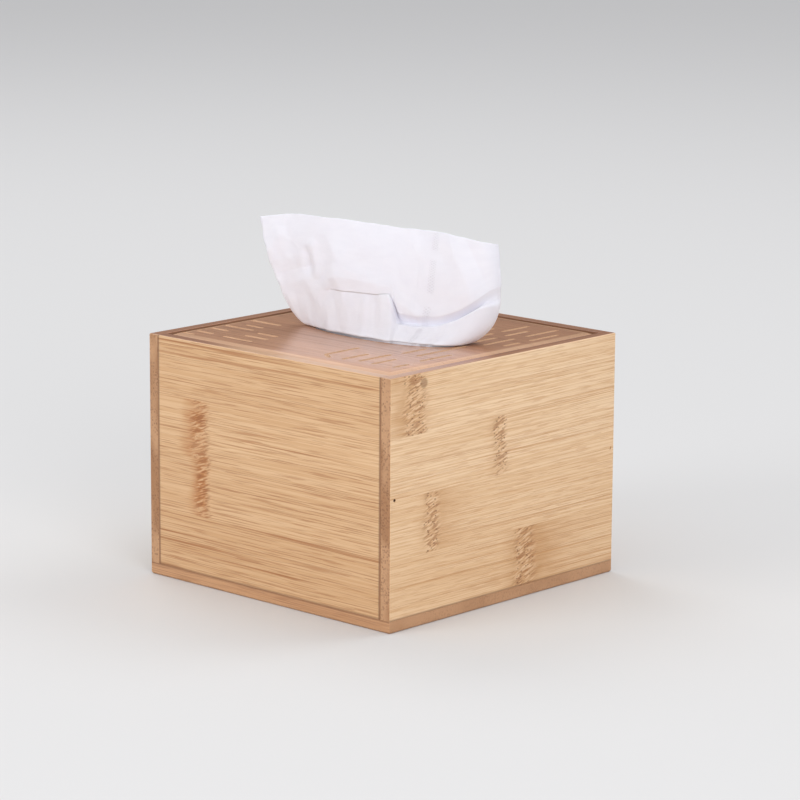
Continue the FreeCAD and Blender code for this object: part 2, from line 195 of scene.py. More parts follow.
class Graph:
    """A node tree with short ways to add nodes and join them."""

    def __init__(self, tree: bpy.types.NodeTree) -> None:
        """Keep the tree that nodes are added to."""
        self.tree = tree

    def node(self, kind: str, **settings: object) -> bpy.types.Node:
        """Add a node.

        Args:
            kind: Blender's name for the node.
            settings: Properties to set on it.

        Returns:
            The new node.
        """
        made = self.tree.nodes.new(kind)
        for name, value in settings.items():
            setattr(made, name, value)
        return made

    def feed(self, socket: Socket, value: Value) -> None:
        """Join an input to another node's output, or set its value.

        Args:
            socket: The input.
            value: An output, a number, a vector or a colour.
        """
        if isinstance(value, bpy.types.NodeSocket):
            self.tree.links.new(value, socket)
        elif socket.type == "RGBA":
            socket.default_value = (*value, 1.0)
        else:
            socket.default_value = value

    def fed(self, node: bpy.types.Node, *values: Value) -> bpy.types.Node:
        """Fill a node's first inputs in order.

        Args:
            node: The node.
            values: What goes into it.

        Returns:
            The same node.
        """
        for socket, value in zip(node.inputs, values):
            self.feed(socket, value)
        return node

    def math(self, operation: str, *values: Value) -> Socket:
        """Add a Math node and return its result."""
        return self.fed(self.node("ShaderNodeMath", operation=operation), *values).outputs[0]

    def times(self, *values: Value) -> Socket:
        """Multiply values in order."""
        return reduce(partial(self.math, "MULTIPLY"), values)

    def plus(self, first: Value, second: Value) -> Socket:
        """Add two values."""
        return self.math("ADD", first, second)

    def minus(self, first: Value, second: Value) -> Socket:
        """Take the second value from the first."""
        return self.math("SUBTRACT", first, second)

    def gap(self, value: Value, middle: Value) -> Socket:
        """Return how far a value is from a middle one, to either side."""
        return self.math("ABSOLUTE", self.minus(value, middle))

    def ramp(self, value: Value, low: float, high: float, start: float = 0.0, end: float = 1.0) -> Socket:
        """Ease from start to end as a value goes from low to high."""
        node = self.node("ShaderNodeMapRange", interpolation_type="SMOOTHSTEP")
        return self.fed(node, value, low, high, start, end).outputs[0]

    def fade(self, value: Value, band: Pair, start: float = 1.0) -> Socket:
        """Ease from a start to 0 as a value goes through a band."""
        return self.ramp(value, *band, start, 0.0)

    def mix(self, factor: Value, first: Value, second: Value) -> Socket:
        """Mix two colours.

        Args:
            factor: Share of the second colour.
            first: Colour at 0.
            second: Colour at 1.

        Returns:
            The mixed colour.
        """
        node = self.node("ShaderNodeMix", data_type="RGBA")
        for socket, value in (("Factor_Float", factor), ("A_Color", first), ("B_Color", second)):
            self.feed(next(item for item in node.inputs if item.identifier == socket), value)
        return next(item for item in node.outputs if item.identifier == "Result_Color")

    def tint(self, colour: Value, tone: Value, mask: Socket, share: float) -> Socket:
        """Lay a share of a tone over a colour where a mask is."""
        return self.mix(self.times(mask, share), colour, tone)

    def coordinate(self, kind: str) -> Socket:
        """Read one of the surface's own coordinates, such as Object, Normal or UV."""
        return self.node("ShaderNodeTexCoord").outputs[kind]

    def scaled(self, vector: Socket, factors: Sequence[float]) -> Socket:
        """Multiply a vector by three factors."""
        node = self.node("ShaderNodeVectorMath", operation="MULTIPLY")
        return self.fed(node, vector, factors).outputs[0]

    def split(self, vector: Socket) -> tuple[Socket, Socket, Socket]:
        """Split a vector into its three parts."""
        return tuple(self.fed(self.node("ShaderNodeSeparateXYZ"), vector).outputs)

    def joined(self, x: Value, y: Value, z: Value) -> Socket:
        """Join three values into a vector."""
        return self.fed(self.node("ShaderNodeCombineXYZ"), x, y, z).outputs[0]

    def distance(self, parts: Sequence[Socket], centre: Pair) -> Socket:
        """Return how far a point of the surface is from a place, in its first two coordinates."""
        steps = [self.minus(part, middle) for part, middle in zip(parts, centre)]
        return self.math("SQRT", self.plus(*(self.times(step, step) for step in steps)))

    def texture(self, kind: str, vector: Socket, stretch: Stretch) -> bpy.types.Node:
        """Add a texture whose grains are stretched along the axes.

        Args:
            kind: Blender's name for the node.
            vector: Where it is read.
            stretch: Grains to a metre along X, Y and Z.

        Returns:
            The texture's node.
        """
        node = self.node(kind)
        self.feed(node.inputs["Vector"], self.scaled(vector, stretch))
        self.feed(node.inputs["Scale"], 1.0)
        return node

    def noise(self, vector: Socket, stretch: Stretch, detail: float) -> Socket:
        """Add noise and return its value, which is about 0.5.

        Args:
            vector: Where it is read.
            stretch: Grains to a metre along X, Y and Z.
            detail: Octaves of finer noise.

        Returns:
            The noise.
        """
        node = self.texture("ShaderNodeTexNoise", vector, stretch)
        self.feed(node.inputs["Detail"], detail)
        return node.outputs["Fac"]

    def patches(self, vector: Socket, pattern: Pattern) -> Socket:
        """Ease a noise into patches."""
        grains = self.noise(vector, pattern.stretch, pattern.detail)
        return self.ramp(grains, pattern.low, pattern.high, pattern.start)

    def dots(self, vector: Socket, pattern: Pattern) -> Socket:
        """Make scattered dots, whose edges are eased by how far they are from the dots' middles."""
        off = self.texture("ShaderNodeTexVoronoi", vector, pattern.stretch).outputs["Distance"]
        return self.fade(off, (pattern.low, pattern.high))

    def bump(self, height: Socket, strength: float, depth: float) -> Socket:
        """Turn a height into a normal.

        Args:
            height: The height.
            strength: How much of it shows.
            depth: Depth in metres of a height of 1.

        Returns:
            The normal.
        """
        node = self.node("ShaderNodeBump")
        for socket, value in (("Strength", strength), ("Distance", depth), ("Height", height)):
            self.feed(node.inputs[socket], value)
        return node.outputs["Normal"]

    def group(self, tree: bpy.types.NodeTree, **values: Value) -> bpy.types.NodeOutputs:
        """Place a shared node group.

        Args:
            tree: The group.
            values: What goes into its inputs, by name with _ for a space.

        Returns:
            Its outputs.
        """
        node = self.node("ShaderNodeGroup", node_tree=tree)
        for name, value in values.items():
            self.feed(node.inputs[name.replace("_", " ")], value)
        return node.outputs


class Surface(Graph):
    """The node tree of a new material, with its shader."""

    def __init__(self, name: str) -> None:
        """Add a material that has one plain shader.

        Args:
            name: The material's name.
        """
        self.material = bpy.data.materials.new(name)
        self.material.use_nodes = True
        super().__init__(self.material.node_tree)
        self.shader = self.tree.nodes["Principled BSDF"]

    def shade(self, **values: Value) -> bpy.types.Material:
        """Set or join the shader's inputs.

        Args:
            values: What goes into them, by name with _ for a space.

        Returns:
            The material.
        """
        for name, value in values.items():
            self.feed(self.shader.inputs[name.replace("_", " ")], value)
        return self.material


class SharedGroup:
    """A node group that several finishes use. It reads a place in metres, and puts out values."""

    name: ClassVar[str]
    values: ClassVar[tuple[str, ...]] = ()
    outputs: ClassVar[tuple[str, ...]]

    def nodes(self, graph: Graph, inputs: dict[str, Socket]) -> Sequence[Socket]:
        """Add the group's nodes, which each kind of group does in its own way."""
        raise NotImplementedError

    def build(self) -> bpy.types.NodeTree:
        """Build the group.

        Returns:
            The group, with its sockets joined.
        """
        tree = bpy.data.node_groups.new(self.name, "ShaderNodeTree")
        kinds = {"Vector": "NodeSocketVector", **dict.fromkeys(self.values, "NodeSocketFloat")}
        for socket, kind in kinds.items():
            tree.interface.new_socket(name=socket, in_out="INPUT", socket_type=kind)
        for socket in self.outputs:
            tree.interface.new_socket(name=socket, in_out="OUTPUT", socket_type="NodeSocketFloat")
        graph = Graph(tree)
        entry = graph.node("NodeGroupInput")
        way_out = graph.node("NodeGroupOutput")
        results = self.nodes(graph, {socket: entry.outputs[socket] for socket in kinds})
        for socket, result in zip(self.outputs, results):
            graph.feed(way_out.inputs[socket], result)
        return tree


@dataclass(frozen=True)
class BambooGrain(SharedGroup):
    """The grain of glued bamboo strips, X along the grain and Y across the strips.

    A strip's tone moves its grain along by up to the shift, and slopes it by up to half the slope.
    """

    name = "bamboo_grain"
    values = ("Strip Width", "Seed", "Dash Rate")
    outputs = ("Tone", "Streaks", "Lines", "Dashes", "Fibres", "Height")
    shift: float = 7.0
    slope: float = 0.016
    waver: Stretch = (5, 40, 40)
    waver_step: float = 0.6 * MM
    streaks: Pattern = Pattern((6, 130, 130), 0.38, 0.7, detail=2.0)
    fibres: Pattern = Pattern((12, 1850, 1850), 0.42, 0.58)
    fibre_height: float = 0.3
    dashes: Pattern = Pattern((1, 1900, 1900), 0.54, 0.64)
    dash_depth: float = 0.5
    lines: Stretch = (1.6, 560, 560)
    line_width: float = 0.04
    line_breaks: Pattern = Pattern((7, 260, 260), 0.48, 0.58)

    def nodes(self, graph: Graph, inputs: dict[str, Socket]) -> Sequence[Socket]:
        """Add the grain's nodes.

        Args:
            graph: The group's nodes.
            inputs: Place, the strips' width, a seed and how many dashes follow each other in a metre.

        Returns:
            Each strip's own tone, broad streaks, long dark lines, short dashes, fine fibres and a height.
        """
        along, across, depth = graph.split(inputs["Vector"])
        strip = graph.math("FLOOR", graph.math("DIVIDE", across, inputs["Strip Width"]))
        chance = graph.node("ShaderNodeTexWhiteNoise", noise_dimensions="1D")
        graph.feed(chance.inputs["W"], graph.plus(strip, inputs["Seed"]))
        tone = chance.outputs["Value"]
        shifted = graph.plus(along, graph.times(tone, self.shift))
        waver = graph.noise(graph.joined(shifted, across, depth), self.waver, detail=1.0)
        slope = graph.times(graph.minus(tone, 0.5), self.slope)
        moved = graph.plus(across, graph.times(waver, self.waver_step))
        moved = graph.plus(moved, graph.times(slope, along))
        place = graph.joined(shifted, moved, depth)
        fibres = graph.patches(place, self.fibres)
        dash_place = graph.joined(graph.times(shifted, inputs["Dash Rate"]), moved, depth)
        dashes = graph.patches(dash_place, self.dashes)
        crossing = graph.gap(graph.noise(place, self.lines, detail=1.0), 0.5)
        lines = graph.fade(crossing, (0.0, self.line_width))
        lines = graph.times(lines, graph.patches(place, self.line_breaks))
        dents = graph.math("MAXIMUM", lines, graph.times(dashes, self.dash_depth))
        height = graph.minus(graph.times(fibres, self.fibre_height), dents)
        return tone, graph.patches(place, self.streaks), lines, dashes, fibres, height


@dataclass(frozen=True)
class KnuckleMark(SharedGroup):
    """The mark that a stem's knuckle leaves across one strip, in widths of the mark from its middle."""

    name = "bamboo_knuckle"
    values = ("Place", "Width", "Trail", "Low", "High")
    outputs = ("Stain", "Specks", "Strokes", "Bits")
    wobble: Stretch = (60, 200, 200)
    wobble_step: float = 0.9
    stain_rise: Pair = (-0.5, 0.0)
    stain_fall: Pair = (0.15, 1.0)
    stain_patches: Pattern = Pattern((70, 110, 110), 0.3, 0.52, start=0.6)
    core: Pair = (0.2, 0.75)
    column_place: float = 0.24
    column_edge: Pair = (0.1, 0.3)
    specks: Pattern = Pattern((520, 860, 860), 0.1, 0.38)
    stroke_lean: float = 0.35
    strokes: Stretch = (210, 1250, 1250)
    stroke_band: Pair = (0.51, 0.62)
    bit_band: Pair = (0.38, 0.48)

    def nodes(self, graph: Graph, inputs: dict[str, Socket]) -> Sequence[Socket]:
        """Add the mark's nodes.

        Args:
            graph: The group's nodes.
            inputs: Place, the mark's place along the strip, its width, the length of its stain, which is
                negative where the stain trails off to the other side, and the strip's two edges.

        Returns:
            A soft stain, dark specks in two columns, slanted dark strokes and the pale bits between them.
        """
        place = inputs["Vector"]
        along, across, depth = graph.split(place)
        wobble = graph.minus(graph.noise(place, self.wobble, detail=3.0), 0.5)
        offset = graph.math("DIVIDE", graph.minus(along, inputs["Place"]), inputs["Width"])
        offset = graph.plus(offset, graph.times(wobble, self.wobble_step))
        trail = graph.math("DIVIDE", graph.times(offset, inputs["Width"]), inputs["Trail"])
        above = graph.math("GREATER_THAN", across, inputs["Low"])
        inside = graph.times(above, graph.math("LESS_THAN", across, inputs["High"]))
        patches = graph.patches(place, self.stain_patches)
        near = graph.ramp(trail, *self.stain_rise)
        stain = graph.times(near, graph.fade(trail, self.stain_fall), inside, patches)
        aside = graph.math("ABSOLUTE", offset)
        core = graph.times(graph.fade(aside, self.core), inside, patches)
        columns = graph.fade(graph.gap(aside, self.column_place), self.column_edge)
        specks = graph.times(graph.dots(place, self.specks), columns, inside)
        lean = graph.plus(along, graph.times(across, self.stroke_lean))
        rise = graph.minus(across, graph.times(along, self.stroke_lean))
        slanted = graph.noise(graph.joined(lean, rise, depth), self.strokes, detail=1.0)
        strokes = graph.times(graph.ramp(slanted, *self.stroke_band), core)
        return stain, specks, strokes, graph.times(graph.fade(slanted, self.bit_band), core)


@dataclass(frozen=True)
class EndGrain(SharedGroup):
    """The dots of cut fibres on a board's end grain."""

    name = "bamboo_end"
    values = ("Facing",)
    outputs = ("Ends", "Dots", "Bands")
    facing: Pair = (0.55, 0.8)
    dots: Pattern = Pattern((60, 1000, 1000), 0.16, 0.6)
    patches: Pattern = Pattern((20, 130, 420), 0.32, 0.6, detail=2.0)
    bands: Pattern = Pattern((3, 42, 90), 0.4, 0.6)

    def nodes(self, graph: Graph, inputs: dict[str, Socket]) -> Sequence[Socket]:
        """Add the end grain's nodes.

        Args:
            graph: The group's nodes.
            inputs: Place and the object's normal along the grain.

        Returns:
            A mask of the end faces, the dots on them and broad bands of tone.
        """
        place = inputs["Vector"]
        ends = graph.ramp(graph.math("ABSOLUTE", inputs["Facing"]), *self.facing)
        dots = graph.times(graph.dots(place, self.dots), graph.patches(place, self.patches), ends)
        return ends, dots, graph.patches(place, self.bands)


@dataclass(frozen=True)
class Crepe(SharedGroup):
    """The fine creping and fibres of tissue paper, X across the flat sheet and Y along it."""

    name = "tissue_crepe"
    outputs = ("Mottle", "Height")
    ridges: Stretch = (420, 2600, 1)
    ridge_share: float = 0.5
    fibres: Stretch = (900, 900, 1)
    fibre_share: float = 0.5
    mottle: Stretch = (140, 140, 1)

    def nodes(self, graph: Graph, inputs: dict[str, Socket]) -> Sequence[Socket]:
        """Add the paper's nodes.

        Args:
            graph: The group's nodes.
            inputs: Place on the flat sheet.

        Returns:
            A mottle for its colour and a height.
        """
        place = inputs["Vector"]
        ridges = graph.times(graph.noise(place, self.ridges, detail=2.0), self.ridge_share)
        fibres = graph.times(graph.noise(place, self.fibres, detail=4.0), self.fibre_share)
        return graph.noise(place, self.mottle, detail=3.0), graph.plus(ridges, fibres)


@dataclass
class SharedGroups:
    """The shared node groups, built once."""

    grain: bpy.types.NodeTree
    knuckle: bpy.types.NodeTree
    end: bpy.types.NodeTree
    crepe: bpy.types.NodeTree

    @classmethod
    def build(cls) -> "SharedGroups":
        """Build every group."""
        return cls(*(group.build() for group in (BambooGrain(), KnuckleMark(), EndGrain(), Crepe())))


# Finishes


KNUCKLE_SPECK = srgb(132, 82, 42)
KNUCKLE_STROKE = srgb(146, 84, 34)
KNOT = srgb(146, 106, 72)
# Glue lines, and painted shade in the groove round the top board and in the gap over the base.
GLUE_AND_SHADE = srgb(134, 92, 60)
END_DOT = srgb(122, 80, 48)


class Grain(Enum):
    """The way a board's grain runs: the object's axes along the grain, across the strips and through."""

    ALONG_X_UP_Z = (0, 2, 1)
    ALONG_Y_UP_Z = (1, 2, 0)
    ALONG_X_ACROSS_Y = (0, 1, 2)


@dataclass(frozen=True)
class Knuckle:
    """One knuckle mark: its strip from the lowest, its place, width and stain's length in millimetres.

    The stain is how much of the stain's colour shows.
    """

    strip: int
    place: float
    width: float
    trail: float
    stain: float = 0.5


@dataclass(frozen=True)
class Knot:
    """A dark round knot: its place, its height above the lowest strip and its radius, in millimetres.

    Its colour is full within the core and gone at the edge, both in radii.
    """

    place: float
    height: float
    radius: float
    core: float = 0.6
    edge: float = 1.15
    share: float = 0.6


@dataclass(frozen=True)
class Rim:
    """The lacquered upper edges of the walls, and their inner faces just over the board let in there,
    which carry painted shade.

    The reach is half that board's width. Round one place the rims get a painted pale sheen, most within
    the first radius and not at all beyond the second.
    """

    reach: float
    top: float
    tone: Colour
    dark: Colour
    # Painted shade on the inner faces over the board.
    inside: Colour
    coat: float
    # Painted pale sheen: its colour, place, radii and share.
    painted_highlight: Colour
    sheen_place: Pair
    sheen_radii: Pair
    sheen_share: float = 0.85
    inner_room: float = 0.2 * MM
    inner_drop: float = 2 * MM
    level: Pair = (0.75, 0.95)
    inner_edge: Pair = (0.4, 0.6)

    def mask(self, graph: Graph, upward: Socket) -> Socket:
        """Find the wall's top, and the top of its inner face.

        Args:
            graph: The material's nodes.
            upward: How far the surface faces up.

        Returns:
            A mask from 0 to 1.
        """
        x, y, z = graph.split(graph.coordinate("Object"))
        reach = graph.math("MAXIMUM", graph.math("ABSOLUTE", x), graph.math("ABSOLUTE", y))
        inner = graph.math("LESS_THAN", reach, self.reach + self.inner_room)
        near_top = graph.math("GREATER_THAN", z, self.top - self.inner_drop)
        return graph.math("MAXIMUM", graph.ramp(upward, *self.level), graph.times(inner, near_top))

    def colour(self, graph: Graph, upward: Socket, fibres: Socket) -> Socket:
        """Mix the rim's colours, with a painted pale sheen round one place of its top and painted shade
        on its inner faces.

        Args:
            graph: The material's nodes.
            upward: How far the surface faces up.
            fibres: The grain's fibres.

        Returns:
            The colour.
        """
        # A painted pale sheen round one place of the rims.
        off = graph.distance(graph.split(graph.coordinate("Object")), self.sheen_place)
        painted_highlight = graph.fade(off, self.sheen_radii, self.sheen_share)
        top_tone = graph.mix(painted_highlight, graph.mix(fibres, self.tone, self.dark), self.painted_highlight)
        # Painted shade on the inner faces, which don't face up.
        return graph.mix(graph.ramp(upward, *self.inner_edge), self.inside, top_tone)


@dataclass(frozen=True)
class BambooFinish:
    """Satin-lacquered bamboo board of glued strips.

    The bands of the glue lines and painted groove shade, and of the bevel's painted highlight line, are
    measured outwards from the glued ends, and those of facings are shares of how far the surface faces
    up.
    """

    name: str
    grain: Grain
    pale: Colour
    deep: Colour
    line: Colour
    stain: Colour
    end_tone: Colour
    end_pale: Colour
    strip_width: float
    strip_start: float
    seed: float
    roughness: float
    coat: float
    coat_roughness: float
    specular: float = 0.5
    tone_share: float = 0.4
    streak_share: float = 0.2
    fibre_share: float = 0.45
    line_strength: float = 0.6
    line_roughness: float = 0.12
    dash_strength: float = 0.35
    dash_rate: float = 60.0
    stroke_strength: float = 0.3
    speck_strength: float = 0.9
    end_dots: float = 0.65
    bump_strength: float = 0.6
    bump_depth: float = 0.12 * MM
    knuckles: tuple[Knuckle, ...] = ()
    knots: tuple[Knot, ...] = ()
    glued_ends: Pair | None = None
    # Glue lines on the walls; on the top board, painted shade in the groove by the walls.
    glue_and_shade_band: Pair = (-1.3 * MM, -0.5 * MM)
    glue_and_shade_share: float = 0.85
    joint_height: float | None = None
    # Painted shade in the gap at the joint.
    joint_shade_band: Pair = (0.3 * MM, 0.9 * MM)
    joint_shade_share: float = 0.6
    rim: Rim | None = None
    # Painted highlight on the bevel and on a line just inside the board's edge.
    painted_bevel_highlight: Colour | None = None
    highlight_line: Pair = (-5.2 * MM, -3.8 * MM)
    highlight_line_share: float = 0.6
    bevel_facing: Pair = (0.6, 0.8)
    level_facing: Pair = (0.95, 0.99)

    def material(self, groups: SharedGroups) -> bpy.types.Material:
        """Build the board's material.

        Args:
            groups: Shared node groups.

        Returns:
            The material.
        """
        surface = Surface(self.name)
        place, facing = self.board_place(surface)
        upward = surface.split(surface.coordinate("Normal"))[2]
        grain = surface.group(
            groups.grain,
            Vector=place,
            Strip_Width=self.strip_width,
            Seed=self.seed,
            Dash_Rate=self.dash_rate,
        )
        colour = self.pale
        for mask, share, tone in (
            ("Tone", self.tone_share, self.deep),
            ("Streaks", self.streak_share, self.deep),
            ("Fibres", self.fibre_share, self.deep),
            ("Dashes", self.dash_strength, self.line),
            ("Lines", self.line_strength, self.line),
        ):
            colour = surface.tint(colour, tone, grain[mask], share)
        for mark in self.knuckles:
            colour = self.with_knuckle(surface, groups, place, mark, colour)
        for knot in self.knots:
            colour = self.with_knot(surface, place, knot, colour)
        colour = self.with_joints(surface, colour)
        end = surface.group(groups.end, Vector=place, Facing=facing)
        end_colour = surface.mix(end["Bands"], self.end_tone, self.end_pale)
        colour = surface.mix(end["Ends"], colour, end_colour)
        colour = surface.tint(colour, END_DOT, end["Dots"], self.end_dots)
        coat = self.coat
        # The rims carry a painted sheen, and painted shade on their inner faces.
        if self.rim:
            on_rim = self.rim.mask(surface, upward)
            colour = surface.mix(on_rim, colour, self.rim.colour(surface, upward, grain["Fibres"]))
            coat = surface.ramp(on_rim, 0, 1, self.coat, self.rim.coat)
        # Painted highlight on the bevel and on a line just inside the board's edge.
        if self.painted_bevel_highlight:
            colour = surface.mix(self.bevel_highlight_mask(surface, upward), colour, self.painted_bevel_highlight)
        rough_line = self.roughness + self.line_roughness
        return surface.shade(
            Base_Color=colour,
            Roughness=surface.ramp(grain["Lines"], 0, 1, self.roughness, rough_line),
            Specular_IOR_Level=self.specular,
            Coat_Weight=coat,
            Coat_Roughness=self.coat_roughness,
            Normal=surface.bump(grain["Height"], self.bump_strength, self.bump_depth),
        )

    def board_place(self, graph: Graph) -> tuple[Socket, Socket]:
        """Read the surface's place on the board and how far it faces along the grain.

        Args:
            graph: The material's nodes.

        Returns:
            The place, X along the grain and Y up from the lowest strip, and the facing.
        """
        point = graph.split(graph.coordinate("Object"))
        normal = graph.split(graph.coordinate("Normal"))
        along, across, through = self.grain.value
        lifted = graph.minus(point[across], self.strip_start)
        return graph.joined(point[along], lifted, point[through]), normal[along]

    def with_knuckle(
        self, graph: Graph, groups: SharedGroups, place: Socket, mark: Knuckle, colour: Socket
    ) -> Socket:
        """Lay one knuckle mark over the grain.

        Args:
            graph: The material's nodes.
            groups: Shared node groups.
            place: Place on the board.
            mark: The mark.
            colour: The grain's colour.

        Returns:
            The colour with the mark.
        """
        low = self.strip_width * mark.strip
        spots = graph.group(
            groups.knuckle,
            Vector=place,
            Place=mark.place * MM,
            Width=mark.width * MM,
            Trail=mark.trail * MM,
            Low=low,
            High=low + self.strip_width,
        )
        for spot, share, tone in (
            ("Stain", mark.stain, self.stain),
            ("Bits", self.stroke_strength, self.pale),
            ("Strokes", self.stroke_strength, KNUCKLE_STROKE),
            ("Specks", self.speck_strength, KNUCKLE_SPECK),
        ):
            colour = graph.tint(colour, tone, spots[spot], share)
        return colour

    def with_knot(self, graph: Graph, place: Socket, knot: Knot, colour: Socket) -> Socket:
        """Lay one round knot over the grain.

        Args:
            graph: The material's nodes.
            place: Place on the board.
            knot: The knot.
            colour: The grain's colour.

        Returns:
            The colour with the knot.
        """
        radius = knot.radius * MM
        off = graph.distance(graph.split(place), (knot.place * MM, knot.height * MM))
        mask = graph.fade(off, (knot.core * radius, knot.edge * radius), knot.share)
        return graph.mix(mask, colour, KNOT)

    def with_joints(self, graph: Graph, colour: Socket) -> Socket:
        """Darken the board's glued ends and its joint with the board under or over it: glue lines at the
        walls' ends, painted shade in the groove round the top board and in the gap where walls meet the
        base.

        Args:
            graph: The material's nodes.
            colour: The grain's colour.

        Returns:
            The colour with the lines.
        """
        # Glue lines at the walls' ends; on the top board, painted shade in the groove by the walls.
        if self.glued_ends:
            glue_and_shade = graph.ramp(self.past_ends(graph), *self.glue_and_shade_band, 0.0, self.glue_and_shade_share)
            colour = graph.mix(glue_and_shade, colour, GLUE_AND_SHADE)
        # Painted shade in the gap where the walls meet the base.
        if self.joint_height is not None:
            off = graph.gap(graph.split(graph.coordinate("Object"))[2], self.joint_height)
            colour = graph.mix(graph.fade(off, self.joint_shade_band, self.joint_shade_share), colour, GLUE_AND_SHADE)
        return colour

    def past_ends(self, graph: Graph) -> Socket:
        """Measure how far a point lies past the nearest glued end.

        Args:
            graph: The material's nodes.

        Returns:
            The distance, which is negative within the board.
        """
        point = graph.split(graph.coordinate("Object"))
        sides = [graph.math("ABSOLUTE", part) for part in point[:2]]
        past = [graph.minus(side, reach) for side, reach in zip(sides, self.glued_ends)]
        return graph.math("MAXIMUM", *past)

    def bevel_highlight_mask(self, graph: Graph, upward: Socket) -> Socket:
        """Find the board's bevel and a line along its upper edge, where a highlight is painted.

        Args:
            graph: The material's nodes.
            upward: How far the surface faces up.

        Returns:
            A mask from 0 to 1.
        """
        painted_highlight = graph.ramp(self.past_ends(graph), *self.highlight_line, 0.0, self.highlight_line_share)
        level = graph.ramp(upward, *self.level_facing)
        sloped = graph.times(graph.ramp(upward, *self.bevel_facing), graph.minus(1.0, level))
        return graph.math("MAXIMUM", sloped, graph.times(painted_highlight, level))


@dataclass(frozen=True)
class PinFinish:
    """Dull steel of the corner pins, stained by the wood at the front and filled over at the back."""

    name: str = "pin_steel"
    colour: Colour = srgb(92, 70, 54)
    tarnish: Colour = srgb(60, 44, 34)
    filler: Colour = srgb(228, 190, 148)
    spots: Stretch = (1800, 1800, 1800)
    spot_band: Pair = (0.3, 0.7)
    roughness: Pair = (0.4, 0.65)
    metallic: float = 0.7

    def material(self) -> bpy.types.Material:
        """Build the pins' material.

        Returns:
            The material.
        """
        surface = Surface(self.name)
        point = surface.coordinate("Object")
        filled = surface.math("GREATER_THAN", surface.split(point)[1], 0.0)
        spots = surface.noise(point, self.spots, detail=3.0)
        steel = surface.mix(spots, self.colour, self.tarnish)
        return surface.shade(
            Base_Color=surface.mix(filled, steel, self.filler),
            Roughness=surface.ramp(spots, *self.spot_band, *self.roughness),
            Metallic=surface.fade(filled, (0, 1), self.metallic),
        )


@dataclass(frozen=True)
class GrooveFinish:
    """The paler bare bamboo inside the engraved dashes."""

    name: str = "bamboo_groove"
    pale: Colour = srgb(232, 196, 160)
    deep: Colour = srgb(176, 134, 102)
    fibres: Stretch = (90, 1400, 1400)
    fibre_band: Pair = (0.3, 0.7)
    roughness: Pair = (0.6, 0.8)

    def material(self) -> bpy.types.Material:
        """Build the grooves' material.

        Returns:
            The material.
        """
        surface = Surface(self.name)
        fibres = surface.noise(surface.coordinate("Object"), self.fibres, detail=3.0)
        return surface.shade(
            Base_Color=surface.mix(fibres, self.pale, self.deep),
            Roughness=surface.ramp(fibres, *self.fibre_band, *self.roughness),
        )


@dataclass(frozen=True)
class TissueFinish:
    """Two-ply tissue paper with a line of embossed dots that holds its plies together."""

    name: str
    colour: Colour = srgb(237, 237, 247)
    shade: Colour = srgb(230, 230, 241)
    pressed: Colour = srgb(216, 214, 226)
    pressed_share: float = 0.5
    emboss_places: tuple[float, ...] = ()
    emboss_width: float = 3.0 * MM
    emboss_pitch: float = 2.0 * MM
    emboss_dots: Pair = (0.1, 0.6)
    emboss_breaks: Pattern = Pattern((0, 90, 1), 0.42, 0.52)
    roughness: float = 0.9
    specular: float = 0.2
    sheen: float = 0.15
    scatter: float = 0.7
    scatter_depth: float = 0.6 * MM
    crepe_height: float = 0.35
    bump_strength: float = 0.8
    bump_depth: float = 0.25 * MM

    def material(self, groups: SharedGroups) -> bpy.types.Material:
        """Build the tissue's material on its UV map, which is in metres of the flat sheet.

        Args:
            groups: Shared node groups.

        Returns:
            The material.
        """
        surface = Surface(self.name)
        place = surface.coordinate("UV")
        paper = surface.group(groups.crepe, Vector=place)
        colour = surface.mix(paper["Mottle"], self.colour, self.shade)
        height = surface.times(paper["Height"], self.crepe_height)
        for emboss_place in self.emboss_places:
            pressed = self.embossing(surface, place, emboss_place)
            colour = surface.tint(colour, self.pressed, pressed, self.pressed_share)
            height = surface.minus(height, pressed)
        return surface.shade(
            Base_Color=colour,
            Roughness=self.roughness,
            Specular_IOR_Level=self.specular,
            Sheen_Weight=self.sheen,
            Subsurface_Weight=self.scatter,
            Subsurface_Radius=(1.0, 1.0, 1.0),
            Subsurface_Scale=self.scatter_depth,
            Normal=surface.bump(height, self.bump_strength, self.bump_depth),
        )

    def embossing(self, graph: Graph, place: Socket, middle: float) -> Socket:
        """Press a line of dots into the paper.

        Args:
            graph: The material's nodes.
            place: Place on the flat sheet.
            middle: Where the line runs across the sheet.

        Returns:
            Depth from 0 to 1.
        """
        across, along, _ = graph.split(place)
        turn = 2 * math.pi / self.emboss_pitch
        waves = [graph.math("SINE", graph.times(part, turn)) for part in (across, along)]
        dots = graph.ramp(graph.times(*waves), *self.emboss_dots)
        on_line = graph.math("LESS_THAN", graph.gap(across, middle), self.emboss_width / 2)
        return graph.times(dots, graph.times(on_line, graph.patches(place, self.emboss_breaks)))


# Boards


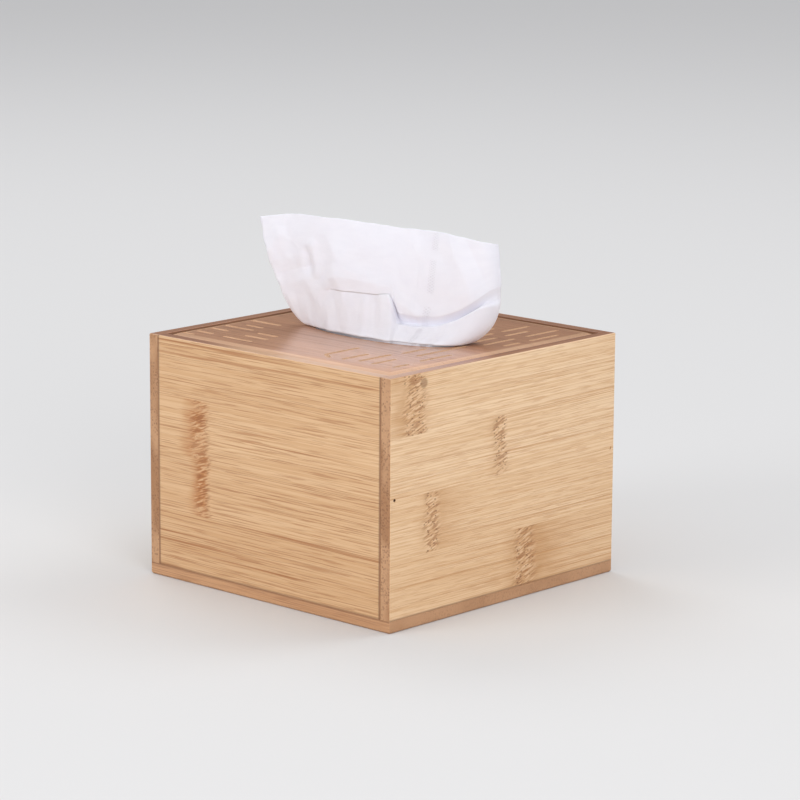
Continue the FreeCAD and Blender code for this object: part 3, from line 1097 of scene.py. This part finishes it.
@dataclass
class BoxBoards:
    """The walls, base and pins, which keep their CAD shapes and get their finishes."""

    groups: SharedGroups
    strip_width: float = 24 * MM

    def dress(self) -> None:
        """Give each board its own bamboo, and the pins their steel."""
        materials = {node: finish.material(self.groups) for node, finish in self.finishes().items()}
        materials["corner_pins"] = PinFinish().material()
        for node, material in materials.items():
            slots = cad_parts[node].data.materials
            slots.clear()
            slots.append(material)
            LOG.info("dressed %s", node)

    def finishes(self) -> dict[str, BambooFinish]:
        """Give the front and back, the sides and the base their tones, and each board its own marks.

        Returns:
            The finish of each board, by node.
        """
        wall_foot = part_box("front_wall")[0].z
        wall = dict(
            end_tone=srgb(168, 120, 80),
            end_pale=srgb(196, 150, 110),
            strip_width=self.strip_width,
            strip_start=wall_foot,
            # Painted shade along the gap over the base.
            joint_height=wall_foot,
            roughness=0.42,
            coat=0.1,
            coat_roughness=0.25,
            rim=Rim(
                reach=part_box("top_board")[1].x,
                top=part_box("front_wall")[1].z,
                tone=srgb(176, 122, 86),
                dark=srgb(146, 96, 64),
                # Painted shade on the walls' inner faces over the top board.
                inside=srgb(128, 92, 68),
                coat=0.45,
                # Painted pale sheen on the rims towards the front right corner.
                painted_highlight=srgb(216, 172, 132),
                sheen_place=(20 * MM, -66 * MM),
                sheen_radii=(30 * MM, 60 * MM),
            ),
        )
        front = dict(
            grain=Grain.ALONG_X_UP_Z,
            pale=srgb(225, 187, 144),
            deep=srgb(195, 145, 95),
            line=srgb(168, 112, 66),
            stain=srgb(180, 112, 50),
            line_strength=0.85,
            dash_strength=0.5,
            dash_rate=48.0,
            stroke_strength=0.65,
            speck_strength=0.3,
            glued_ends=(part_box("front_wall")[1].x, FAR),
            **wall,
        )
        side = dict(
            grain=Grain.ALONG_Y_UP_Z,
            # The side walls' bamboo is paler than the front's, partly its own tone and partly painted
            # light standing in for more lamp on the right wall.
            pale=srgb(246, 214, 176),
            deep=srgb(215, 169, 118),
            line=srgb(190, 132, 80),
            stain=srgb(192, 138, 84),
            line_strength=0.55,
            dash_strength=0.3,
            dash_rate=90.0,
            stroke_strength=0.5,
            speck_strength=0.8,
            **wall,
        )
        base = dict(
            grain=Grain.ALONG_X_ACROSS_Y,
            pale=srgb(206, 158, 116),
            deep=srgb(176, 126, 86),
            line=srgb(150, 100, 64),
            stain=srgb(160, 110, 70),
            end_tone=srgb(188, 142, 104),
            end_pale=srgb(196, 150, 112),
            strip_width=self.strip_width,
            strip_start=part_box("base_board")[0].y,
            # Painted shade along the gap under the walls.
            joint_height=wall_foot,
            end_dots=0.2,
            roughness=0.45,
            coat=0.1,
            coat_roughness=0.3,
        )
        front_marks = (Knuckle(2, -38, 10, -13, 0.7), Knuckle(1, -36, 8, -10, 0.8))
        back_marks = (Knuckle(3, 30, 9, 14), Knuckle(0, -22, 8, -12))
        right_marks = (
            Knuckle(3, -54, 12, -22, 0.55),
            Knuckle(2, -3.5, 8, -9, 0.35),
            Knuckle(1, -43.5, 9, 24, 0.4),
            Knuckle(0, 12, 12, 34, 0.6),
        )
        left_marks = (
            Knuckle(3, 20, 9, 16, 0.4),
            Knuckle(1, 41, 8, -20, 0.5),
            Knuckle(0, -30, 8, 12, 0.3),
        )
        right_side = dict(side, knots=(Knot(-48.6, 91.8, 2.2),))
        return {
            "front_wall": BambooFinish("bamboo_front", seed=1656.0, knuckles=front_marks, **front),
            "back_wall": BambooFinish("bamboo_back", seed=1488.0, knuckles=back_marks, **front),
            "right_wall": BambooFinish("bamboo_right", seed=3430.0, knuckles=right_marks, **right_side),
            "left_wall": BambooFinish("bamboo_left", seed=2245.0, knuckles=left_marks, **side),
            "base_board": BambooFinish("bamboo_base", seed=51.0, **base),
            "locating_board": BambooFinish("bamboo_locator", seed=63.0, **base),
        }


@dataclass(frozen=True)
class Dash:
    """One engraved dash on the top board, from one end to the other, in millimetres from the middle."""

    x0: float
    y0: float
    x1: float
    y1: float


FRONT_LEFT_DASHES = (
    Dash(-57, -18, -42, -18),
    Dash(-51.5, -27, -43.5, -27),
    Dash(-57, -33.5, -42.5, -33.5),
    Dash(-57, -41.5, -49, -41.5),
    Dash(-56.5, -50, -49, -50),
    Dash(-58, -56.5, -53.5, -56.5),
    Dash(-35, -36.5, -25.5, -36.5),
    Dash(-35, -43.5, -24, -43.5),
    Dash(-40, -51, -25.5, -51),
)
FRONT_RIGHT_DASHES = (
    Dash(15.3, -31, 15.3, -49),
    Dash(15.3, -49, 20, -52.5),
    Dash(26.9, -38, 26.9, -51),
    Dash(34.2, -32.5, 34.2, -49),
    Dash(41.9, -38, 41.9, -50),
    Dash(52.5, -42, 52.5, -49),
    Dash(35.8, -14, 35.8, -26),
    Dash(43.6, 2, 43.6, -26),
    Dash(51.4, -16, 51.4, -32.5),
)
BACK_RIGHT_DASHES = (
    Dash(26, 24, 26, 38),
    Dash(33, 18, 33, 30),
    Dash(33, 37, 33, 52),
    Dash(40, 14, 40, 24),
    Dash(40, 31, 40, 44),
    Dash(47, 10, 47, 27),
    Dash(47, 36, 47, 54),
    Dash(54, 14, 54, 22),
    Dash(54, 30, 54, 46),
)
BACK_LEFT_DASHES = tuple(Dash(-dash.x0, -dash.y0, -dash.x1, -dash.y1) for dash in FRONT_RIGHT_DASHES)
DASHES = FRONT_LEFT_DASHES + FRONT_RIGHT_DASHES + BACK_RIGHT_DASHES + BACK_LEFT_DASHES


@dataclass
class TopBoard:
    """The inset top board, with its engraved dashes cut into it."""

    groups: SharedGroups
    groove_radius: float = 1.05 * MM
    groove_depth: float = 0.8 * MM
    rings: int = 12
    weld: float = 0.001 * MM
    sharp_angle: float = math.radians(28)
    strip_width: float = 25 * MM

    def build(self) -> bpy.types.Object:
        """Cut the dashes into a copy of the plain board and dress it.

        Returns:
            The engraved board.
        """
        board = bmesh.new()
        board.from_mesh(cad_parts["top_board"].data)
        bmesh.ops.remove_doubles(board, verts=board.verts, dist=self.weld)
        plain = add_object("engraved_top", board, self.finish().material(self.groups))
        cutter = add_object("dash_cutter", self.cutters(), GrooveFinish().material())
        cut = plain.modifiers.new("dashes", "BOOLEAN")
        cut.operation = "DIFFERENCE"
        cut.solver = "EXACT"
        cut.use_self = True
        cut.material_mode = "TRANSFER"
        cut.object = cutter
        result = plain.evaluated_get(bpy.context.evaluated_depsgraph_get())
        finished = bpy.data.meshes.new_from_object(result)
        bpy.data.objects.remove(cutter)
        plain.modifiers.clear()
        plain.data = finished
        engraved = bmesh.new()
        engraved.from_mesh(finished)
        shade_by_angle(engraved, self.sharp_angle)
        engraved.to_mesh(finished)
        engraved.free()
        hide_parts("top_board")
        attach(plain, "cover")
        LOG.info("engraved_top: %d faces", len(plain.data.polygons))
        return plain

    def finish(self) -> BambooFinish:
        """Choose the board's own darker and glossier bamboo.

        Returns:
            The finish.
        """
        low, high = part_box("top_board")
        return BambooFinish(
            "bamboo_top",
            Grain.ALONG_X_ACROSS_Y,
            pale=srgb(203, 149, 109),
            deep=srgb(176, 120, 83),
            line=srgb(138, 90, 60),
            stain=srgb(140, 92, 62),
            end_tone=srgb(160, 112, 82),
            end_pale=srgb(168, 120, 88),
            strip_width=self.strip_width,
            strip_start=low.y,
            seed=71.0,
            roughness=0.38,
            specular=0.25,
            coat=0.8,
            coat_roughness=0.26,
            # The band inside these edges is painted shade in the groove by the walls.
            glued_ends=(high.x, high.y),
            # Painted highlight on the bevel and on a line just inside its edge.
            painted_bevel_highlight=srgb(234, 188, 146),
        )

    def cutters(self) -> bmesh.types.BMesh:
        """Make a round-ended bit for every dash, by pulling the halves of a ball apart.

        Returns:
            All the bits in one mesh.
        """
        bits = bmesh.new()
        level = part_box("top_board")[1].z + self.groove_radius - self.groove_depth
        half_step = Matrix.Rotation(math.pi / self.rings, 4, "Z")
        for dash in DASHES:
            start = Vector((dash.x0 * MM, dash.y0 * MM, level))
            end = Vector((dash.x1 * MM, dash.y1 * MM, level))
            run = end - start
            ball = bmesh.ops.create_uvsphere(
                bits,
                u_segments=self.rings,
                v_segments=self.rings,
                radius=self.groove_radius,
                matrix=half_step,
            )
            for vertex in ball["verts"]:
                vertex.co.x += math.copysign(run.length / 2, vertex.co.x)
            heading = Matrix.Rotation(math.atan2(run.y, run.x), 4, "Z")
            place = Matrix.Translation((start + end) / 2) @ heading
            bmesh.ops.transform(bits, verts=ball["verts"], matrix=place)
        return bits


# Tissues


@dataclass(frozen=True)
class Crease:
    """A straight crease, in millimetres: its ends across the sheet and over the board, lift and reach."""

    across0: float
    height0: float
    across1: float
    height1: float
    lift: float
    reach: float

    def lift_at(self, across: float, height: float) -> float:
        """Return how far the crease lifts a point, falling off straight to both sides.

        Args:
            across: Place across the sheet.
            height: Height over the board.

        Returns:
            The lift, which is negative in a valley.
        """
        run_across = self.across1 - self.across0
        run_up = self.height1 - self.height0
        from_across = across - self.across0
        from_up = height - self.height0
        ahead = from_across * run_across + from_up * run_up
        share = min(max(ahead / (run_across**2 + run_up**2), 0.0), 1.0)
        off = math.hypot(from_across - share * run_across, from_up - share * run_up)
        return self.lift * max(0.0, 1 - off / self.reach)


CREASES = (
    Crease(63, 47, 61, 20, 1.3, 16),
    Crease(12, 47, 14, 33, -0.8, 6),
    Crease(26.5, 34, 27.5, 24, 0.9, 3.5),
    Crease(22.5, 31, 22, 25, -0.9, 3.5),
    Crease(24, 26, 4, 21, -0.6, 5),
    Crease(8, 37, 1, 30, 0.6, 4),
    Crease(97, 44, 108, 24, -1.1, 6),
    Crease(90, 44, 102, 20, 0.7, 6),
    Crease(111, 40, 112, 24, 0.5, 4),
    Crease(76, 42, 78, 22, -0.6, 8),
    Crease(55.5, 15, 56, 1, 0.7, 2.5),
    Crease(61, 14, 62.5, 1, -0.5, 2.5),
    Crease(38, 14, 44, 1, -0.7, 6),
    Crease(28, 14, 33, 1, 0.5, 5),
    Crease(69, 16, 80, 10.5, 0.8, 4),
    Crease(40, 24, 66, 21, 0.5, 5),
    Crease(80, 6, 84, 1, 0.4, 3),
    Crease(96, 9, 99, 1, -0.4, 4),
)


@dataclass(frozen=True)
class Ripple:
    """A soft noise over paper: its rates across and up, its seed and how far it moves the paper."""

    across: float
    up: float
    seed: float
    size: float = 1.0

    def at(self, across: float, height: float = 1.0) -> float:
        """Return how far the ripple moves a point."""
        return self.size * noise.noise(Vector((across * self.across, height * self.up, self.seed)))


@dataclass(frozen=True)
class Fold:
    """How the sheet runs up from the slot's rim over a fold, bend by bend, in millimetres.

    Three bends stand by the board. Four stand by the crease, each at a share of the crease's height and
    a lift over that, the last one also at a share of what is above the crease. Two stand above them.
    """

    foot: tuple[float, float, float]
    lifts: tuple[float, float, float, float]
    steps: tuple[float, ...]
    shares: tuple[float, float, float, float] = (1, 1, 1, 1)
    above_share: float = 0.0
    upper_share: float = 0.55

    def heights(self, crease: float, rise: float) -> tuple[float, ...]:
        """Work out the bends' heights over the board.

        Args:
            crease: Height of the crease.
            rise: Height of the top edge.

        Returns:
            One height for each bend.
        """
        above = rise - crease
        by_crease = [share * crease + lift for share, lift in zip(self.shares, self.lifts)]
        by_crease[-1] += self.above_share * above
        return (*self.foot, *by_crease, crease + self.upper_share * above, rise)


@dataclass
class PulledTissue:
    """The tissue that stands out of the slot.

    Places across the sheet run from its free left edge to the end of its turn on the right, in
    millimetres, and so do the sizes of its folds. On the left the upper layer overhangs a lower band,
    on the right it bulges over a valley, and they meet at the corner. Rows are shares of the way from
    the slot's rim to the top edge. The tail hangs in the slot and is folded back above the pack.
    """

    groups: SharedGroups
    flat_width: float = 120 * MM
    flat_length: float = 180 * MM
    thickness: float = 0.3 * MM
    emboss_share: float = 0.7
    columns: int = 160
    fan_rows: int = 110
    tail_rows: int = 60
    neck_length: float = 74.8 * MM
    neck_width: float = 24.8 * MM
    fan_width: float = 110 * MM
    fan_turn: float = math.radians(15)
    fan_lean: float = 3 * MM
    fan_bulge: float = 1.5 * MM
    fan_roll: float = 6.5 * MM
    fan_roll_power: float = 0.6
    fan_return: float = 7 * MM
    fan_wave: float = 2.5 * MM
    fan_wave_turn: float = 1.5 * math.pi
    stations: tuple[float, ...] = (0, 16, 33, 51, 69, 87, 106, 113, 120)
    neck_angles: tuple[float, ...] = (211, 223, 242, 264, 290, 312, 334, 358, 382)
    edge_heights: tuple[float, ...] = (43.5, 46.3, 46.7, 45.8, 44.5, 44.3, 42.2, 41.3, 40.5)
    fan_shares: tuple[float, ...] = (-1.04, -0.74, -0.42, -0.1, 0.22, 0.55, 0.9, 0.97, 0.94)
    turn_shares: tuple[float, ...] = (0, 0, 0, 0, 0, 0, 0, 0.5, 1)
    roll_shares: tuple[float, ...] = (0, 0, 0, 0, 0.1, 0.4, 0.9, 1, 1)
    bend_rows: tuple[float, ...] = (0, 0.03, 0.09, 0.25, 0.29, 0.33, 0.46, 0.7, 1.0)
    plain: Fold = Fold(
        foot=(0, 0.7, 3.0),
        shares=(0.75, 0.9, 1, 1),
        lifts=(0, 0, 0, 0),
        above_share=0.2,
        steps=(0, 2.6, 2.3, 0.8, 0.7, 0.7, 0.4, 0.2, 0.0),
    )
    lip: Fold = Fold(
        foot=(0, 0.7, 3.5),
        lifts=(0.2, 0.9, -0.2, 5.0),
        steps=(0.2, 3.4, 3.4, 1.9, 1.7, 2.4, 2.6, 1.7, 0.0),
    )
    valley: Fold = Fold(
        foot=(0, 0.7, 2.6),
        lifts=(0, -0.4, 0.5, 4.5),
        steps=(0.6, 3.3, 3.4, 2.6, -1.0, -1.0, 2.4, 1.8, 0.0),
    )
    fold_start: Pair = (29, 41)
    fold_end: Pair = (103, 117)
    fold_fade: float = 0.85
    left_crease: float = 17.9
    crease_stations: tuple[float, ...] = (60, 88, 98, 104, 109, 120)
    right_creases: tuple[float, ...] = (6.8, 6.6, 9.7, 14.0, 18.4, 22.8)
    corner: float = 68.0
    corner_slant: float = 4.3
    corner_row: float = 0.27
    corner_reach: Pair = (-2.4, 3.6)
    ridge_step: float = 1.2
    ridge_rise: Pair = (-10, -2)
    ridge_drop: float = 0.8
    ridge_rows: Pair = (0.22, 0.3)
    right_lean: float = 2.4
    right_start: Pair = (60, 82)
    right_end: Pair = (98, 110)
    right_rows: Pair = (0.33, 1.0)
    soft: Ripple = Ripple(0.05, 0.06, 3.1, 0.6)
    crumple: Ripple = Ripple(0.17, 0.15, 7.7, 0.3)
    wrinkle: Ripple = Ripple(0.075, 0.06, 11.3, 1.2)
    crumple_rows: Pair = (0.0, 0.4)
    gather: Ripple = Ripple(0.24, 0.5, 1.9, 0.5)
    gather_rows: Pair = (0.05, 0.34)
    edge_wave: Ripple = Ripple(0.21, 2.2, 4.4, 0.25)
    edge_rows: Pair = (0.85, 1.0)
    ragged: Ripple = Ripple(0.4, 0.2, 9.3, 0.9)
    ragged_width: float = 5.0
    ragged_row: float = 0.2
    probe: float = 0.5
    tail_room: float = 1 * MM
    tail_drop: float = 36 * MM
    tail_bend: float = 1 * MM
    tail_bend_rows: tuple[float, ...] = (0, 0.26, 0.3, 0.34, 0.58, 0.62, 0.66, 1.0)
    tail_steps: tuple[float, ...] = (-1.0, -1.0, -0.6, -0.2, -0.2, 0.2, 0.6, 0.0)
    tail_join: Pair = (0.9, 1.0)
    tail_gather: Ripple = Ripple(0.24, 0.5, 1.9, 0.9)

    def build(self) -> bpy.types.Object:
        """Shape the sheet from a flat grid.

        Returns:
            The tissue.
        """
        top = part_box("top_board")[1].z
        tail_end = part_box("pulled_sheet")[0].z
        rows = self.fan_rows + self.tail_rows
        sheet = bmesh.new()
        places = lay_sheet(sheet, self.columns, rows, self.flat_width, self.flat_length)
        for vertex, (across, along) in places.items():
            vertex.co = self.point(across * self.stations[-1], along, top, tail_end)
        finish = TissueFinish("tissue_sheet", emboss_places=(self.emboss_share * self.flat_width,))
        tissue = add_object("pulled_tissue", sheet, finish.material(self.groups))
        wall = tissue.modifiers.new("thickness", "SOLIDIFY")
        wall.thickness = self.thickness
        wall.offset = 0
        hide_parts("pulled_sheet")
        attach(tissue, "sheet")
        LOG.info("pulled_tissue: %d faces", len(tissue.data.polygons))
        return tissue

    def point(self, across: float, along: float, top: float, tail_end: float) -> Vector:
        """Place one point of the sheet.

        Args:
            across: Place across the sheet.
            along: Share of the flat grid, from the tail's end at 0 to the top edge at 1.
            top: Height of the top board's face.
            tail_end: Lowest height that the tail may reach.

        Returns:
            The point in the object's frame.
        """
        tail_share = self.tail_rows / (self.tail_rows + self.fan_rows)
        if along < tail_share:
            height, out = self.tail_profile(across, along / tail_share, top, tail_end)
            level = 0.0
        else:
            rise, out = self.fan_profile(across, (along - tail_share) / (1 - tail_share))
            height = top + rise
            level = max(rise / (curve(self.stations, self.edge_heights, across) * MM), 0.0)
        by_edge = fade(0.0, self.ragged_width, across) * smoothstep(0.0, self.ragged_row, level)
        across += self.ragged.at(1.0, height / MM) * by_edge
        run = self.middle(across + self.probe, level) - self.middle(across - self.probe, level)
        outward = Vector((run.y, -run.x, 0)).normalized()
        return self.middle(across, level) + outward * out + Vector((0, 0, height))

    def middle(self, across: float, level: float) -> Vector:
        """Read the sheet's plain line at one level, before its folds.

        Args:
            across: Place across the sheet.
            level: Share of the height from the slot's rim at 0 to the top edge at 1.

        Returns:
            The point in plan.
        """
        angle = math.radians(curve(self.stations, self.neck_angles, across))
        neck = Vector((self.neck_length / 2 * math.cos(angle), self.neck_width / 2 * math.sin(angle), 0))
        share = curve(self.stations, self.fan_shares, across)
        along = Vector((math.cos(self.fan_turn), math.sin(self.fan_turn), 0))
        back = Vector((-along.y, along.x, 0))
        edge = Vector((0, -self.fan_lean, 0)) + along * (share * self.fan_width / 2)
        edge += back * (self.fan_wave * math.sin(self.fan_wave_turn * share))
        edge += back * (self.fan_return * curve(self.stations, self.turn_shares, across))
        opening = math.sqrt(level)
        roll = curve(self.stations, self.roll_shares, across)
        bulge = self.fan_bulge * math.sin(math.pi * level) * (1 - roll)
        rolled = self.fan_roll * math.sin(math.pi * level**self.fan_roll_power) * roll
        point = neck * (1 - opening) + edge * opening
        return point + Vector((0, -bulge, 0)) + Vector((1, 1, 0)).normalized() * rolled

    def fan_profile(self, across: float, row: float) -> Pair:
        """Fold the part above the slot.

        Args:
            across: Place across the sheet.
            row: Row to read.

        Returns:
            Height over the board and step outward, in metres.
        """
        rise = curve(self.stations, self.edge_heights, across)
        crease_place = max(across, self.crease_stations[0])
        right_crease = curve(self.crease_stations, self.right_creases, crease_place)
        corner = self.corner + self.corner_slant * fade(0.0, self.corner_row, row)
        right = smoothstep(*(corner + reach for reach in self.corner_reach), across)
        crease = self.left_crease * (1 - right) + right_crease * right
        depth = smoothstep(*self.fold_start, across)
        depth *= 1 - self.fold_fade * smoothstep(*self.fold_end, across)
        folds = (self.plain, self.lip, self.valley)
        height = self.mixed([fold.heights(crease, rise) for fold in folds], row, right, depth)
        out = self.mixed([fold.steps for fold in folds], row, right, depth)
        ridge = smoothstep(*(corner + start for start in self.ridge_rise), across)
        ridge *= fade(corner, corner + self.ridge_drop, across)
        out += self.ridge_step * ridge * fade(*self.ridge_rows, row)
        lean = smoothstep(*self.right_start, across) * fade(*self.right_end, across)
        out += self.right_lean * lean * smoothstep(*self.right_rows, row)
        out += sum(line.lift_at(across, height) for line in CREASES)
        crumpled = self.soft.at(across, height) + self.crumple.at(across, height)
        crumpled -= abs(self.wrinkle.at(across, height))
        out += crumpled * smoothstep(*self.crumple_rows, row)
        out += self.gather.at(across) * fade(*self.gather_rows, row)
        height += self.edge_wave.at(across) * smoothstep(*self.edge_rows, row)
        return height * MM, out * MM

    def mixed(self, profiles: Sequence[Sequence[float]], row: float, right: float, depth: float) -> float:
        """Read the profiles of no fold, the lip and the valley at a row, and mix them by their shares."""
        plain, lip, valley = (curve(self.bend_rows, values, row, crisp=True) for values in profiles)
        return plain * (1 - depth) + (lip * (1 - right) + valley * right) * depth

    def tail_profile(self, across: float, row: float, top: float, tail_end: float) -> Pair:
        """Fold the part below the slot's rim.

        Args:
            across: Place across the sheet.
            row: Share of the tail's rows, from the sheet's end at 0 to the rim at 1.
            top: Height of the top board's face.
            tail_end: Lowest height that the tail may reach.

        Returns:
            Height and step outward, in metres.
        """
        low = tail_end + self.tail_room
        turn = low + self.tail_drop
        by_low = low + self.tail_bend
        by_turn = turn - self.tail_bend
        heights = (by_low, by_turn, turn, by_turn, by_low, low, by_low, top)
        rim_share = smoothstep(*self.tail_join, row)
        rim_step = self.fan_profile(across, 0.0)[1] * rim_share
        step = curve(self.tail_bend_rows, self.tail_steps, row)
        step += self.tail_gather.at(across) * (1 - rim_share)
        return curve(self.tail_bend_rows, heights, row), rim_step + step * MM


@dataclass
class TissuePack:
    """The folded tissues left in the box.

    Each sheet is folded once round an edge of the next, so its two halves lie three layers apart, and
    it starts two layers over the last one. Half a layer is left free at the bottom and at the top.
    """

    groups: SharedGroups
    sheets: int = 30
    columns: int = 16
    half_rows: int = 9
    fold_rows: int = 8
    slack: float = 0.8 * MM
    margin: float = 0.1 * MM
    stray: Ripple = Ripple(1.7, 0.3, 0.6)
    aside: Ripple = Ripple(2.3, 5.1, 0.2)
    lie_rate: float = 25
    lie_seed: float = 1.3
    lie_change: float = 0.03
    lie_size: float = 0.4 * MM

    def build(self) -> bpy.types.Object:
        """Stack the folded sheets.

        Returns:
            The pack.
        """
        low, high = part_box("tissue_pack")
        pitch = (high.z - low.z) / (2 * self.sheets + 2.5)
        rows = 2 * self.half_rows + self.fold_rows
        width = high.x - low.x
        length = 2 * (high.y - low.y)
        pack = bmesh.new()
        for number in range(self.sheets):
            places = lay_sheet(pack, self.columns, rows, width, length, start=number)
            for vertex, (across, along) in places.items():
                vertex.co = self.point(number, across, along * rows, pitch, low, high)
        made = add_object("tissue_stack", pack, TissueFinish("tissue_folded").material(self.groups))
        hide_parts("tissue_pack")
        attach(made, "base")
        LOG.info("tissue_stack: %d sheets, %d faces", self.sheets, len(made.data.polygons))
        return made

    def point(
        self, number: int, across: float, row: float, pitch: float, low: Vector, high: Vector
    ) -> Vector:
        """Place one point of a folded sheet.

        Args:
            number: The sheet's number from the bottom.
            across: Share across the pack.
            row: Row of the sheet, from its lower edge to its upper edge.
            pitch: Height of one layer.
            low: Lowest corner of the pack.
            high: Highest corner of the pack.

        Returns:
            The point in the object's frame.
        """
        side = 1 if number % 2 else -1
        reach = (high.y - low.y) / 2 - self.slack * (1 + self.stray.at(number))
        lower = low.z + pitch * (2 * number + 0.5)
        radius = 1.5 * pitch
        bend = reach - radius
        past_fold = row - self.half_rows - self.fold_rows
        if row <= self.half_rows:
            y = -reach + (bend + reach) * row / self.half_rows
            z = lower
        elif past_fold >= 0:
            y = bend - (bend + reach) * past_fold / self.half_rows
            z = lower + 2 * radius
        else:
            angle = math.pi * (row - self.half_rows) / self.fold_rows - math.pi / 2
            y = bend + radius * math.cos(angle)
            z = lower + radius + radius * math.sin(angle)
        x = low.x + self.slack + (high.x - low.x - 2 * self.slack) * across
        x += self.slack * self.aside.at(number)
        seed = self.lie_seed + number * self.lie_change
        z += Ripple(self.lie_rate, self.lie_rate, seed, self.lie_size).at(x, side * y)
        z = min(max(z, low.z + self.margin), high.z - self.margin)
        return Vector((x, (low.y + high.y) / 2 + side * y, z))


# Stage


@dataclass(frozen=True)
class Softbox:
    """One soft lamp: where it stands, its size and its power."""

    name: str
    place: tuple[float, float, float]
    size: float
    power: float


@dataclass
class Studio:
    """The plain floor, the soft lamps and the camera at the photograph's angle."""

    image_side: int = 800
    sensor: float = 36.0
    focal_pixels: float = 3450.0
    azimuth: float = math.radians(42.91)
    elevation: float = math.radians(11.82)
    roll: float = math.radians(0.33)
    distance: float = 1415.5 * MM
    aim_aside: float = 7.09 * MM
    aim_height: float = 73.0 * MM
    floor_radius: float = 6.0
    floor_sides: int = 96
    floor_colour: Colour = srgb(222, 222, 222)
    floor_roughness: float = 0.9
    floor_specular: float = 0.1
    sky_colour: Colour = srgb(240, 240, 242)
    horizon_colour: Colour = srgb(84, 84, 86)
    sky_band: Pair = (0.2, 0.75)
    lamps: tuple[Softbox, ...] = (
        Softbox("lamp_right", (1.5, -0.8, 0.55), 1.0, 11.8),
        Softbox("lamp_front", (-0.5, -1.6, 0.55), 1.0, 10.0),
        Softbox("lamp_left", (-1.2, 0.4, 1.5), 1.0, 5.5),
        Softbox("lamp_back", (0.5, 1.2, 1.5), 1.0, 5.5),
    )

    def build(self) -> None:
        """Set up the floor, the light and the camera."""
        self.floor()
        self.light()
        self.camera()
        bpy.context.scene.view_settings.view_transform = "Standard"

    def floor(self) -> None:
        """Lay a pale matt floor."""
        material = Surface("studio_floor").shade(
            Base_Color=self.floor_colour,
            Roughness=self.floor_roughness,
            Specular_IOR_Level=self.floor_specular,
        )
        disc = bmesh.new()
        bmesh.ops.create_circle(disc, cap_ends=True, segments=self.floor_sides, radius=self.floor_radius)
        floor = add_object("studio_floor", disc, material)

    def light(self) -> None:
        """Hang the lamps and set the world's dim glow."""
        for box in self.lamps:
            lamp = bpy.data.lights.new(box.name, "AREA")
            lamp.shape = "DISK"
            lamp.size = box.size
            lamp.energy = box.power
            item = bpy.data.objects.new(box.name, lamp)
            item.location = box.place
            item.rotation_mode = "QUATERNION"
            item.rotation_quaternion = (-Vector(box.place)).to_track_quat("-Z", "Y")
            bpy.context.scene.collection.objects.link(item)
        world = bpy.data.worlds.new("studio")
        world.use_nodes = True
        graph = Graph(world.node_tree)
        up = graph.split(graph.coordinate("Generated"))[2]
        glow = graph.mix(graph.ramp(up, *self.sky_band), self.horizon_colour, self.sky_colour)
        graph.feed(world.node_tree.nodes["Background"].inputs["Color"], glow)
        bpy.context.scene.world = world

    def camera(self) -> None:
        """Stand the camera where the photograph was taken from."""
        data = bpy.data.cameras.new("camera")
        data.sensor_width = self.sensor
        data.lens = self.focal_pixels / self.image_side * self.sensor
        camera = bpy.data.objects.new("camera", data)
        aside, ahead = math.sin(self.azimuth), math.cos(self.azimuth)
        flat = math.cos(self.elevation)
        back = Vector((aside * flat, -ahead * flat, math.sin(self.elevation)))
        aim = Vector((ahead, aside, 0)) * self.aim_aside + Vector((0, 0, self.aim_height))
        camera.location = aim + back * self.distance
        camera.rotation_mode = "QUATERNION"
        camera.rotation_quaternion = (-back).to_track_quat("-Z", "Y") @ Quaternion((0, 0, 1), self.roll)
        bpy.context.scene.collection.objects.link(camera)
        bpy.context.scene.camera = camera


def main() -> None:
    """Build and dress the tissue box."""
    logging.basicConfig(level=logging.INFO, format="%(name)s: %(message)s")
    groups = SharedGroups.build()
    Studio().build()
    BoxBoards(groups).dress()
    TopBoard(groups).build()
    PulledTissue(groups).build()
    TissuePack(groups).build()


if __name__ == "__main__":
    main()
